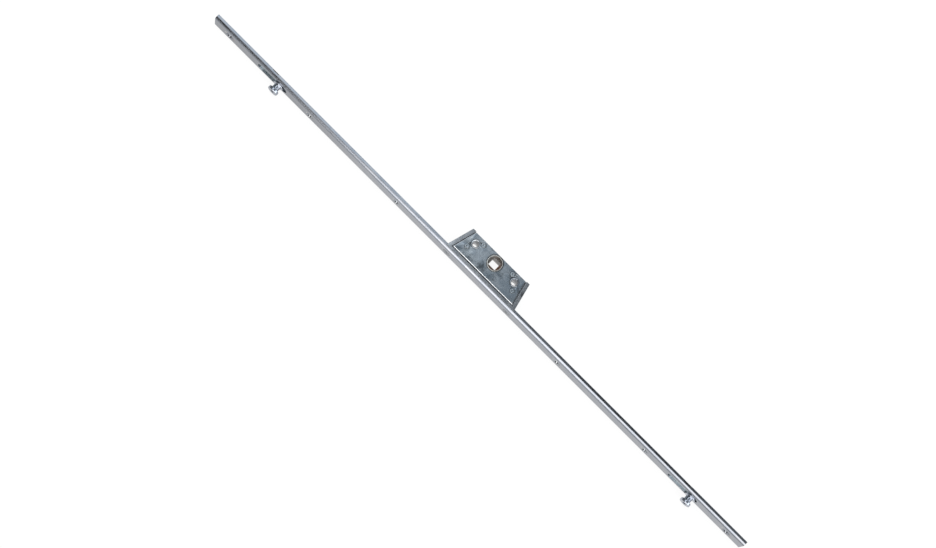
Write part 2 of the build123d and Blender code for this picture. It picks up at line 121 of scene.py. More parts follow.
class Wiring:
    """Adds nodes to a node tree and links them."""

    def __init__(self, tree: bpy.types.NodeTree) -> None:
        """Keeps the tree that the nodes go into."""
        self.tree = tree

    def node(self, kind: str, sockets: dict[str | int, Value] | None = None, **settings: object) -> bpy.types.Node:
        """Adds one node.

        Args:
            kind: Blender's identifier of the node.
            sockets: Values or links for its inputs, by name or by place.
            **settings: The node's own properties.

        Returns:
            The new node.
        """
        made = self.tree.nodes.new(kind)
        for key, value in settings.items():
            setattr(made, key, value)
        for key, value in (sockets or {}).items():
            self.feed(made.inputs[key], value)
        return made

    def feed(self, socket: Socket, value: Value) -> None:
        """Sets an input, or links it where the value is another node's output.

        Args:
            socket: The input.
            value: A plain value, or the output to link.
        """
        if isinstance(value, bpy.types.NodeSocket):
            self.tree.links.new(value, socket)
        elif socket.type == "RGBA" and len(value) == 3:
            socket.default_value = (*value, 1.0)
        else:
            socket.default_value = value

    def math(self, operation: str, first: Value, second: Value = 0.0, third: Value = 0.0) -> Socket:
        """Output of a Math node."""
        return self.node("ShaderNodeMath", {0: first, 1: second, 2: third}, operation=operation).outputs[0]

    def times(self, first: Value, second: Value) -> Socket:
        """Product of two values."""
        return self.math("MULTIPLY", first, second)

    def plus(self, first: Value, second: Value) -> Socket:
        """Sum of two values."""
        return self.math("ADD", first, second)

    def minus(self, first: Value, second: Value) -> Socket:
        """Difference of two values."""
        return self.math("SUBTRACT", first, second)

    def most(self, first: Value, second: Value) -> Socket:
        """The larger of two values."""
        return self.math("MAXIMUM", first, second)

    def least(self, first: Value, second: Value) -> Socket:
        """The smaller of two values."""
        return self.math("MINIMUM", first, second)

    def between(self, share: Value, first: Value, second: Value) -> Socket:
        """A value that goes from the first to the second as a share rises from nought to one."""
        return self.plus(self.times(share, self.minus(second, first)), first)

    def distance(self, first: Value, second: Value) -> Socket:
        """Distance between two places."""
        return self.node("ShaderNodeVectorMath", {0: first, 1: second}, operation="DISTANCE").outputs["Value"]

    def scaled(self, vector: Socket, factor: float) -> Socket:
        """A vector times a number."""
        return self.node("ShaderNodeVectorMath", {0: vector, "Scale": factor}, operation="SCALE").outputs[0]

    def vector(self, operation: str, first: Value, second: Value = (0.0, 0.0, 0.0)) -> Socket:
        """Vector output of a Vector Math node."""
        return self.node("ShaderNodeVectorMath", {0: first, 1: second}, operation=operation).outputs[0]

    def parts(self, vector: Socket) -> tuple[Socket, Socket, Socket]:
        """The three components of a vector."""
        split = self.node("ShaderNodeSeparateXYZ", {0: vector})
        return split.outputs[0], split.outputs[1], split.outputs[2]

    def whole(self, x: Value = 0.0, y: Value = 0.0, z: Value = 0.0) -> Socket:
        """A vector from three components."""
        return self.node("ShaderNodeCombineXYZ", {0: x, 1: y, 2: z}).outputs[0]

    def remap(self, value: Value, low: float, high: float, to_low: float = 0.0, to_high: float = 1.0,
              curve: str = "SMOOTHSTEP") -> Socket:
        """Value of a Map Range node."""
        sockets = {"Value": value, "From Min": low, "From Max": high, "To Min": to_low, "To Max": to_high}
        return self.node("ShaderNodeMapRange", sockets, interpolation_type=curve).outputs["Result"]

    def ramp(self, value: Value, ramp: Ramp, curve: str = "SMOOTHSTEP") -> Socket:
        """Value of a ramp at a place."""
        return self.remap(value, ramp.start, ramp.end, ramp.first, ramp.last, curve)


@dataclass(frozen=True)
class Patch:
    """A ragged patch of another colour, in millimetres."""

    centre: Vector3
    reach: float
    colour: Colour
    share: float = 0.6
    ragged: float = 0.45


@dataclass(frozen=True)
class Ring:
    """The dark joint round a part that is let in, in millimetres."""

    centre: Vector3
    radius: float
    width: float = 0.35


class SurfaceWiring(Wiring):
    """The node tree of one metal's material, with the patterns that the finishes share."""

    def __init__(self, name: str) -> None:
        """Starts an opaque metal.

        Args:
            name: The material's name.
        """
        self.material = bpy.data.materials.new(name)
        self.material.use_nodes = True
        super().__init__(self.material.node_tree)
        self.tree.nodes.clear()
        self.shader = self.node("ShaderNodeBsdfPrincipled", {"Metallic": 1.0})
        self.node("ShaderNodeOutputMaterial", {"Surface": self.shader.outputs["BSDF"]})

    def place_mm(self) -> Socket:
        """Object coordinates, in millimetres."""
        return self.scaled(self.node("ShaderNodeTexCoord").outputs["Object"], 1 / MM)

    def turned_mm(self) -> Socket:
        """Radius and height of a turned part, in millimetres, from its own attribute."""
        return self.node("ShaderNodeAttribute", attribute_name=TURNED).outputs["Vector"]

    def noise(self, spot: Socket, per_mm: float | Vector3, detail: float = 3.0, rough: float = 0.5,
              bend: float = 0.0) -> Socket:
        """Soft random pattern.

        Args:
            spot: Where, in millimetres.
            per_mm: Features per millimetre, for all directions or for each.
            detail: Number of finer layers.
            rough: Strength of the finer layers.
            bend: How far the pattern is distorted.

        Returns:
            A value around a half.
        """
        scales = per_mm if isinstance(per_mm, tuple) else (per_mm, per_mm, per_mm)
        where = self.vector("MULTIPLY", spot, scales)
        sockets = {"Vector": where, "Scale": 1.0, "Detail": detail, "Roughness": rough, "Distortion": bend}
        return self.node("ShaderNodeTexNoise", sockets).outputs["Fac"]

    def contrast(self, pattern: Socket, half: float, low: float = 0.0, high: float = 1.0) -> Socket:
        """Stretches the middle of a noise pattern."""
        return self.remap(pattern, 0.5 - half, 0.5 + half, low, high)

    def outline(self, value: Socket, level: float, width: float) -> Socket:
        """Thin line where a pattern passes a level, like the rim of a dried stain."""
        off = self.math("ABSOLUTE", self.minus(value, level))
        return self.remap(off, 0.0, width, 1.0, 0.0)

    def blot(self, spot: Socket, centre: Vector3, reach: float, ragged: float) -> Socket:
        """A ragged round patch."""
        wander = self.remap(self.noise(spot, 0.35, 4.0), 0.3, 0.7, -ragged, ragged, "LINEAR")
        return self.remap(self.plus(self.distance(spot, centre), wander), 0.2 * reach, reach, 1.0, 0.0)

    def patched(self, colour: Socket, spot: Socket, patches: tuple[Patch, ...]) -> Socket:
        """Lays patches over a colour.

        Args:
            colour: The colour so far.
            spot: Where, in millimetres.
            patches: The patches.

        Returns:
            The colour with the patches in it.
        """
        for patch in patches:
            cover = self.blot(spot, patch.centre, patch.reach, patch.ragged * patch.reach)
            colour = self.blend(self.times(cover, patch.share), colour, patch.colour)
        return colour

    def ringed(self, colour: Socket, spot: Socket, rings: tuple[Ring, ...], dirt: Colour, share: float) -> Socket:
        """Darkens the joints round parts that are let in.

        Args:
            colour: The colour so far.
            spot: Where, in millimetres.
            rings: The joints.
            dirt: Colour of what lies in them.
            share: How much of it.

        Returns:
            The colour with the joints in it.
        """
        joint: Value = 0.0
        for ring in rings:
            joint = self.most(joint, self.outline(self.distance(spot, ring.centre), ring.radius, ring.width))
        return self.blend(self.times(joint, share), colour, dirt)

    def painted_slope_highlight(self) -> Socket:
        """Painted highlight on the rolled rims of a level face: one where the surface leans, nought where it is level
        or upright.
        """
        _, _, upward = self.parts(self.node("ShaderNodeNewGeometry").outputs["Normal"])
        return self.times(self.remap(upward, 0.999, 0.97), self.remap(upward, 0.3, 0.6))

    def edges(self, radius_mm: float, spot: Socket) -> Socket:
        """Edges that handling has rubbed.

        Args:
            radius_mm: How far the wear reaches from an edge.
            spot: Where, in millimetres.

        Returns:
            One on worn edges and nought on plain faces.
        """
        rounded = self.node("ShaderNodeBevel", {"Radius": radius_mm * MM}, samples=4).outputs["Normal"]
        true = self.node("ShaderNodeNewGeometry").outputs["Normal"]
        same = self.node("ShaderNodeVectorMath", {0: rounded, 1: true}, operation="DOT_PRODUCT").outputs["Value"]
        ragged = self.remap(self.noise(spot, 0.8, 4.0), 0.3, 0.7, 0.25, 1.0)
        return self.times(self.remap(same, 0.99, 0.85), ragged)

    def corners(self, reach_mm: float) -> Socket:
        """Inside corners, darkened for the dirt and oil that stay there and as painted shade."""
        shade = self.node("ShaderNodeAmbientOcclusion", {"Distance": reach_mm * MM}, samples=6, only_local=True)
        return self.remap(shade.outputs["AO"], 0.25, 0.85, 1.0, 0.0)

    def blend(self, share: Value, first: Value, second: Value, mode: str = "MIX") -> Socket:
        """Mix of two colours.

        Args:
            share: How much of the second.
            first: First colour.
            second: Second colour.
            mode: The node's blend mode.

        Returns:
            The mixed colour.
        """
        mix = self.node("ShaderNodeMix", data_type="RGBA", blend_type=mode)
        for place, value in ((0, share), (6, first), (7, second)):
            self.feed(mix.inputs[place], value)
        return mix.outputs[2]

    def relief(self, *layers: tuple[Socket, float]) -> None:
        """Gives the surface its small relief.

        Args:
            *layers: Pairs of a pattern and its height in millimetres, below nought for one that is cut in.
        """
        normal = None
        for pattern, height_mm in layers:
            sockets = {"Strength": 1.0, "Distance": abs(height_mm) * MM, "Height": pattern}
            bump = self.node("ShaderNodeBump", sockets, invert=height_mm < 0)
            if normal is not None:
                self.feed(bump.inputs["Normal"], normal)
            normal = bump.outputs["Normal"]
        self.feed(self.shader.inputs["Normal"], normal)

    def finish(self, colour: Socket, roughness: Socket) -> bpy.types.Material:
        """Feeds the shader and returns the material.

        Args:
            colour: The surface's colour.
            roughness: Its roughness.

        Returns:
            The material.
        """
        self.feed(self.shader.inputs["Base Color"], colour)
        self.feed(self.shader.inputs["Roughness"], roughness)
        return self.material


class Finish(Protocol):
    """A metal surface that can make its material."""

    def material(self) -> bpy.types.Material:
        """The material, made once for each piece or set of pieces."""
        ...


@dataclass(frozen=True)
class ZincPlate:
    """Zinc plate over steel: fine lines, faint clouds, hair scratches and bright edges."""

    label: str
    grain: Grain
    colour: Colour = tint("acb0b5")
    cloud: Colour = tint("9fa6af")
    worn: Colour = tint("d2d4d4")
    grime_and_shade: Colour = tint("5a564e")
    roughness: float = 0.16
    line_depth: float = 0.004
    dirt_and_shade_share: float = 0.55
    corner_reach: float = 1.6
    patches: tuple[Patch, ...] = ()
    rings: tuple[Ring, ...] = ()
    dents: tuple[Vector3, ...] = ()
    dent_size: Vector3 = (3.2, 0.8, 1.0)
    cloud_per_mm: float = 0.09
    line_contrast: float = 0.22
    hair_share: float = 0.35
    hair_depth: float = 0.004
    wear_mm: float = 0.25
    wear_share: float = 0.6
    joint_share: float = 0.9
    crimp_share: float = 0.85

    def crimps(self, wiring: SurfaceWiring, spot: Socket) -> Value:
        """Dirt in the short crimps along the rail's side.

        Args:
            wiring: The material's tree.
            spot: Where, in millimetres.

        Returns:
            One in the dirt and nought off it.
        """
        dirt: Value = 0.0
        for centre in self.dents:
            off = wiring.vector("DIVIDE", wiring.vector("ABSOLUTE", wiring.vector("SUBTRACT", spot, centre)),
                                self.dent_size)
            across, deep, aside = wiring.parts(off)
            far = wiring.most(wiring.most(across, deep), aside)
            dirt = wiring.most(dirt, wiring.remap(far, 0.85, 1.1, 1.0, 0.0))
        return dirt

    def lines(self, wiring: SurfaceWiring, spot: Socket) -> Socket:
        """The fine lines that working left.

        Args:
            wiring: The material's tree.
            spot: Where, in millimetres.

        Returns:
            The pattern of the lines.
        """
        if self.grain is Grain.ROLLED:
            return wiring.noise(spot, (0.02, 4.0, 4.0), 4.0, 0.6)
        if self.grain is Grain.TURNED:
            return wiring.noise(wiring.turned_mm(), (6.0, 6.0, 0.0), 3.0, 0.6)
        return wiring.noise(spot, 2.5, 4.0, 0.6)

    def material(self) -> bpy.types.Material:
        """Wires the plated metal.

        Returns:
            The material.
        """
        wiring = SurfaceWiring(self.label)
        spot = wiring.place_mm()
        lines = self.lines(wiring, spot)
        clouds = wiring.noise(spot, self.cloud_per_mm, 5.0, 0.6, 0.6)
        hairs = wiring.outline(wiring.noise(spot, (0.05, 0.4, 0.4), 2.0, 0.4, 1.5), 0.5, 0.004)
        worn = wiring.edges(self.wear_mm, spot)
        dirt_and_shade = wiring.corners(self.corner_reach)
        colour = wiring.blend(wiring.contrast(clouds, 0.15), self.colour, self.cloud)
        colour = wiring.blend(wiring.contrast(lines, 0.2, 0.0, self.line_contrast), colour, self.cloud, "MULTIPLY")
        colour = wiring.blend(wiring.times(hairs, self.hair_share), colour, self.worn)
        # Dirt and painted shade darken the inside corners.
        colour = wiring.blend(wiring.times(dirt_and_shade, self.dirt_and_shade_share), colour, self.grime_and_shade)
        colour = wiring.blend(wiring.times(worn, self.wear_share), colour, self.worn)
        colour = wiring.patched(colour, spot, self.patches)
        if self.rings:
            colour = wiring.ringed(colour, spot, self.rings, self.grime_and_shade, self.joint_share)
        if self.dents:
            colour = wiring.blend(wiring.times(self.crimps(wiring, spot), self.crimp_share), colour, self.grime_and_shade)
        roughness = wiring.contrast(lines, 0.2, self.roughness - 0.04, self.roughness + 0.06)
        roughness = wiring.plus(roughness, wiring.contrast(clouds, 0.2, -0.02, 0.04))
        roughness = wiring.plus(roughness, wiring.times(dirt_and_shade, 0.2))
        wiring.relief((lines, self.line_depth), (hairs, -self.hair_depth))
        return wiring.finish(colour, roughness)


@dataclass(frozen=True)
class CastZinc:
    """Die-cast zinc: satin grain, flow clouds, dried stain rims, rubbed edges, corner dirt with painted shade, optional
    painted rim highlight.
    """

    label: str
    colour: Colour = tint("a9abae")
    cloud: Colour = tint("93969b")
    stain: Colour = tint("5c6263")
    worn: Colour = tint("b4b8ba")
    grime_and_shade: Colour = tint("26282a")
    roughness: float = 0.18
    grain_depth: float = 0.006
    stain_share: float = 0.35
    patches: tuple[Patch, ...] = ()
    rings: tuple[Ring, ...] = ()
    slope_highlight: bool = False
    grain_per_mm: float = 1.6
    flow_per_mm: Vector3 = (0.06, 0.09, 0.09)
    flow_depth: float = 0.05
    tide_per_mm: float = 0.07
    wear_mm: float = 0.3
    wear_share: float = 0.55
    corner_reach: float = 1.2
    dirt_and_shade_share: float = 0.7
    joint_share: float = 0.85

    def material(self) -> bpy.types.Material:
        """Wires the cast metal.

        Returns:
            The material.
        """
        wiring = SurfaceWiring(self.label)
        spot = wiring.place_mm()
        grain = wiring.noise(spot, self.grain_per_mm, 5.0, 0.65)
        flow = wiring.noise(spot, self.flow_per_mm, 5.0, 0.55, 1.2)
        tide = wiring.noise(spot, self.tide_per_mm, 2.5, 0.45, 0.8)
        rims = wiring.outline(tide, 0.5, 0.012)
        worn = wiring.edges(self.wear_mm, spot)
        dirt_and_shade = wiring.corners(self.corner_reach)
        colour = wiring.blend(wiring.contrast(flow, 0.18), self.colour, self.cloud)
        colour = wiring.blend(wiring.remap(grain, 0.35, 0.7, 0.0, 0.3), colour, self.cloud, "MULTIPLY")
        colour = wiring.blend(wiring.times(rims, self.stain_share), colour, self.stain)
        colour = wiring.patched(colour, spot, self.patches)
        # Dirt and painted shade darken the inside corners.
        colour = wiring.blend(wiring.times(dirt_and_shade, self.dirt_and_shade_share), colour, self.grime_and_shade)
        # Painted highlight on sloped rims, in the worn colour, added to the rubbed edges.
        if self.slope_highlight:
            worn = wiring.most(worn, wiring.painted_slope_highlight())
        colour = wiring.blend(wiring.times(worn, self.wear_share), colour, self.worn)
        if self.rings:
            colour = wiring.ringed(colour, spot, self.rings, self.grime_and_shade, self.joint_share)
        roughness = wiring.contrast(grain, 0.2, self.roughness - 0.06, self.roughness + 0.1)
        roughness = wiring.plus(roughness, wiring.contrast(tide, 0.1, -0.04, 0.05))
        wiring.relief((grain, self.grain_depth), (flow, self.flow_depth))
        return wiring.finish(colour, roughness)


@dataclass(frozen=True)
class SinteredMetal:
    """Pressed and sintered metal, oiled: open pores, dark skin and a bright rubbed face, with dirt and painted shade in
    corners and painted shade on a recess's wall.
    """

    label: str
    colour: Colour = tint("827d79")
    skin: Colour = tint("68625e")
    pore_and_shade: Colour = tint("241e1a")
    worn: Colour = tint("d6d5d0")
    patches: tuple[Patch, ...] = ()
    rim: tuple[float, float] = (0.0, 0.0)
    roughness: float = 0.26
    cloud_per_mm: float = 0.25
    cloud_depth: float = 0.02
    pore_per_mm: float = 3.2
    pore_share: float = 0.6
    pore_depth: float = 0.03
    wear_mm: float = 0.4
    wear_share: float = 0.7
    corner_reach: float = 1.5
    dirt_and_shade_share: float = 0.6
    wall_shade_share: float = 0.7
    rim_share: float = 0.85

    def material(self) -> bpy.types.Material:
        """Wires the sintered metal.

        Returns:
            The material.
        """
        wiring = SurfaceWiring(self.label)
        spot = wiring.place_mm()
        clouds = wiring.noise(spot, self.cloud_per_mm, 4.0, 0.6)
        pores = wiring.remap(wiring.noise(spot, self.pore_per_mm, 2.0, 0.5), 0.62, 0.7)
        worn = wiring.edges(self.wear_mm, spot)
        dirt_and_shade = wiring.corners(self.corner_reach)
        colour = wiring.blend(wiring.contrast(clouds, 0.15), self.colour, self.skin)
        colour = wiring.patched(colour, spot, self.patches)
        # Dirt and painted shade darken the inside corners, in the pore colour.
        colour = wiring.blend(wiring.times(dirt_and_shade, self.dirt_and_shade_share), colour, self.pore_and_shade)
        colour = wiring.blend(wiring.times(pores, self.pore_share), colour, self.pore_and_shade)
        colour = wiring.blend(wiring.times(worn, self.wear_share), colour, self.worn)
        if any(self.rim):
            colour = self.bright_rim(wiring, spot, colour)
        roughness = wiring.contrast(clouds, 0.2, self.roughness - 0.06, self.roughness + 0.12)
        wiring.relief((pores, -self.pore_depth), (clouds, self.cloud_depth))
        return wiring.finish(colour, roughness)

    def bright_rim(self, wiring: SurfaceWiring, spot: Socket, colour: Socket) -> Socket:
        """Brightens the flat rim round a hub's recess and darkens the recess's wall with painted shade.

        Args:
            wiring: The material's tree.
            spot: Where, in millimetres.
            colour: The colour so far.

        Returns:
            The colour with the rim in it.
        """
        inner, level = self.rim
        x, y, z = wiring.parts(spot)
        radius = wiring.math("SQRT", wiring.plus(wiring.times(x, x), wiring.times(y, y)))
        height = wiring.math("ABSOLUTE", z)
        out = wiring.remap(radius, inner - 0.05, inner + 0.1)
        # Painted shade on the recess's wall.
        wall = wiring.times(wiring.remap(radius, inner - 0.3, inner - 0.1),
                            wiring.remap(height, level - 0.3, level, 1.0, 0.0))
        colour = wiring.blend(wiring.times(wall, self.wall_shade_share), colour, self.pore_and_shade)
        rim = wiring.times(out, wiring.remap(height, level - 0.2, level - 0.05))
        return wiring.blend(wiring.times(rim, self.rim_share), colour, self.worn)


RAIL_FACE = 20.0
RAIL_SCREWS = (-187.1, -89.6, 89.6, 187.1)
RAIL_END_SCREWS = (-277.4, 277.4)
RAIL_RIVETS = (-33.4, 33.4)
CRIMP_STATIONS = (-229.2, 229.2)
PANEL = 7.7
SCREW_STATIONS = (-21.5, 21.5)
STUD_PLACES = ((16.2, 3.8), (25.1, -6.0))
# Painted shade and painted highlight for the countersinks' cones, and their rust tone.
SINK_PAINTED_SHADE = tint("3c444c")
SINK_PAINTED_HIGHLIGHT = tint("f2eee8")
SINK_RUST = tint("7a5a44")
COVER_STAIN = tint("4c5256")
COVER_CLEAN = tint("ccd4da")
COPPER = tint("6c4530")


def sink_patches(stations: tuple[float, ...]) -> tuple[Patch, ...]:
    """Painted highlight, painted shade and a little rust round countersunk holes in the rail's face.

    Args:
        stations: Where the holes are along the rail, in millimetres.

    Returns:
        Three patches for each hole.
    """
    return tuple(patch for x in stations for patch in (
        Patch((x - 3.3, -19.6, 1.0), 2.6, SINK_PAINTED_HIGHLIGHT, 0.8, 0.2),
        Patch((x + 1.6, -19.2, 1.0), 3.6, SINK_PAINTED_SHADE, 0.9, 0.2),
        Patch((x + 4.6, -19.8, -1.0), 1.6, SINK_RUST, 0.6, 0.3)))


RAIL_PLATE = ZincPlate("rail_zinc_plate", Grain.ROLLED, colour=tint("a1a4ab"), cloud=tint("9a9fa8"),
                       roughness=0.13, line_depth=0.0012, dirt_and_shade_share=0.2, grime_and_shade=tint("3a3835"),
                       patches=sink_patches(RAIL_END_SCREWS),
                       rings=tuple(Ring((x, -RAIL_FACE, 0.0), 3.4, 0.6) for x in RAIL_RIVETS),
                       dents=tuple((x, -15.9, 9.0) for x in CRIMP_STATIONS))
BAR_PLATE = ZincPlate("bar_zinc_plate", Grain.ROLLED, colour=tint("c3ced0"), cloud=tint("b2bfc1"), roughness=0.4,
                      dirt_and_shade_share=0.15)
BUSH_PLATE = ZincPlate("bush_zinc_plate", Grain.TURNED, colour=tint("c3c5c6"), roughness=0.12,
                       patches=sink_patches(RAIL_SCREWS))
# Painted shade: two dark patches on the far walls of the screw bores, and corner darkening that reaches down the bores.
BORE_PLATE = ZincPlate("bore_zinc_plate", Grain.TURNED, colour=tint("dcdee0"), roughness=0.08, corner_reach=5.0,
                       grime_and_shade=tint("2e2c2a"), dirt_and_shade_share=0.85,
                       patches=(Patch((-19.4, 3.2, 1.5), 7.0, tint("2a3038"), 0.9, 0.15),
                                Patch((22.3, 3.8, 1.5), 6.0, tint("343a42"), 0.9, 0.15)))
CAM_POLISH = ZincPlate("cam_polished_zinc", Grain.TURNED, colour=tint("c5c9d1"), cloud=tint("b9bfca"),
                       roughness=0.06, line_depth=0.002, dirt_and_shade_share=0.4)
RIVET_STEEL = ZincPlate("rivet_zinc_plate", Grain.TUMBLED, colour=tint("86898c"), roughness=0.22)
CASE_CAST = CastZinc("case_cast_zinc")
# The near-white worn colour paints the rubbed edges and the painted highlight on the cover's sloped rims.
COVER_CAST = CastZinc(
    "cover_stained_zinc", colour=tint("aeb4ba"), cloud=tint("8a959f"), stain=COVER_STAIN, worn=tint("f2f4f5"),
    roughness=0.18, stain_share=0.6, slope_highlight=True, wear_share=0.8,
    rings=(Ring((0.0, 0.0, PANEL), 6.95, 0.6), *(Ring((x, 0.0, PANEL), 3.95) for x in SCREW_STATIONS),
           *(Ring((side * x, y, PANEL), 2.15, 0.3) for x, y in STUD_PLACES for side in (-1, 1))),
    patches=(Patch((-22.0, -11.6, PANEL), 7.0, COVER_CLEAN), Patch((-11.5, -12.8, PANEL), 6.0, COVER_CLEAN),
             Patch((-6.0, -10.2, PANEL), 4.6, COVER_STAIN, 0.75),
             Patch((-28.0, -3.0, PANEL), 6.0, COVER_STAIN, 0.7), Patch((-24.0, -8.0, PANEL), 3.4, COVER_STAIN, 0.5),
             Patch((18.5, 1.0, PANEL), 4.5, COVER_STAIN, 0.5), Patch((8.5, -5.0, PANEL), 4.5, COVER_STAIN, 0.35),
             Patch((-16.2, 3.8, PANEL), 3.2, COVER_STAIN, 0.4)))
STUD_CAST = CastZinc("stud_cast_zinc", colour=tint("b4babf"), cloud=tint("9aa3aa"), worn=tint("d4d8da"), roughness=0.16,
                     stain_share=0.1)
FOLLOWER_BRONZE = SinteredMetal("follower_sintered_bronze", rim=(5.85, 7.2), patches=(
    Patch((5.5, -1.0, 5.5), 6.5, COPPER, 0.8, 0.3), Patch((0.5, -6.0, 5.5), 5.5, COPPER, 0.8, 0.3)))
RACK_STEEL = SinteredMetal("rack_sintered_steel", colour=tint("76767a"), skin=tint("5c5c60"), pore_and_shade=tint("1c1c1e"),
                           worn=tint("b0b0b4"), roughness=0.3)


def new_object(name: str, data: bpy.types.ID) -> bpy.types.Object:
    """Links a new object at the origin.

    Args:
        name: The object's name.
        data: Its mesh, lamp or camera.

    Returns:
        The object.
    """
    made = bpy.data.objects.new(name, data)
    bpy.context.scene.collection.objects.link(made)
    return made


def settle(piece: bpy.types.Object) -> None:
    """Turns what a piece's modifiers give into its own plain mesh.

    Args:
        piece: The object. Its modifiers are removed.
    """
    bpy.context.view_layer.update()
    evaluated = piece.evaluated_get(bpy.context.evaluated_depsgraph_get())
    plain = bpy.data.meshes.new_from_object(evaluated)
    piece.modifiers.clear()
    old, piece.data = piece.data, plain
    bpy.data.meshes.remove(old)
    plain.name = piece.name


def hand_over(piece: bpy.types.Object, body: Body, slot: Slot, *nodes: str) -> bpy.types.Object:
    """Lets a finished piece ride on its body and stand for its CAD nodes.

    Args:
        piece: The finished object.
        body: The body that it rides on.
        slot: The record's material slot; not used.
        *nodes: The CAD nodes that it stands for.

    Returns:
        The piece.
    """
    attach(piece, body.value)
    if nodes:
        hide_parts(*nodes)
    log.info("%s on %s: %d faces", piece.name, body.value, len(piece.data.polygons))
    return piece


def dress_node(node: str, finish: Finish) -> bpy.types.Object:
    """Gives a CAD node that stays its material.

    Args:
        node: The CAD node.
        finish: Its finish.

    Returns:
        The node's object.
    """
    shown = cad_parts[node]
    shown.data.materials.clear()
    shown.data.materials.append(finish.material())
    log.info("%s keeps its solid, in %s", node, shown.data.materials[0].name)
    return shown


@dataclass(frozen=True)
class SoftEdged:
    """A CAD node's own shape with its sharp edges broken."""

    node: str
    name: str
    body: Body
    slot: Slot
    finish: Finish
    edge_mm: float = 0.12
    sharp_deg: float = 30.0
    roll_mm: float = 0.0

    def roll(self, work: bmesh.types.BMesh) -> None:
        """Rounds the upper edge of the rim's chamfer, as a stamping die leaves it.

        Args:
            work: The merged mesh.
        """
        top = max(corner.co.z for corner in work.verts) - self.roll_mm * MM / 10
        chamfered = [e for e in work.edges if e.is_manifold and min(v.co.z for v in e.verts) > top
                     and abs(e.calc_face_angle() - math.radians(CHAMFER_DEG)) < math.radians(5)]
        bmesh.ops.bevel(work, geom=chamfered, offset=self.roll_mm * MM, segments=6, profile=0.5, affect="EDGES")

    def build(self) -> bpy.types.Object:
        """Copies the node's mesh, merges it, rounds its sharp edges and dresses it.

        Returns:
            The piece.
        """
        mesh = bpy.data.meshes.new(self.name)
        work = bmesh.new()
        work.from_mesh(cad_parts[self.node].data)
        bmesh.ops.remove_doubles(work, verts=work.verts, dist=MERGE_MM * MM)
        if self.roll_mm > 0:
            self.roll(work)
        for face in work.faces:
            face.smooth = True
        work.to_mesh(mesh)
        work.free()
        piece = new_object(self.name, mesh)
        bevel = piece.modifiers.new("edge_round", "BEVEL")
        bevel.width = self.edge_mm * MM
        bevel.segments = 2
        bevel.limit_method = "ANGLE"
        bevel.angle_limit = math.radians(self.sharp_deg)
        bevel.use_clamp_overlap = False
        smoothed = piece.modifiers.new("flat_faces_stay_flat", "WEIGHTED_NORMAL")
        smoothed.mode = "FACE_AREA"
        smoothed.weight = 100
        settle(piece)
        low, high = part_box(self.node)
        for corner in piece.data.vertices:
            corner.co = [min(max(c, a), b) for c, a, b in zip(corner.co, low, high)]
        piece.data.materials.clear()
        piece.data.materials.append(self.finish.material())
        return hand_over(piece, self.body, self.slot, self.node)


@dataclass(frozen=True)
class Corner:
    """One corner of a turned profile, in millimetres."""

    radius: float
    height: float
    rounding: float = 0.0


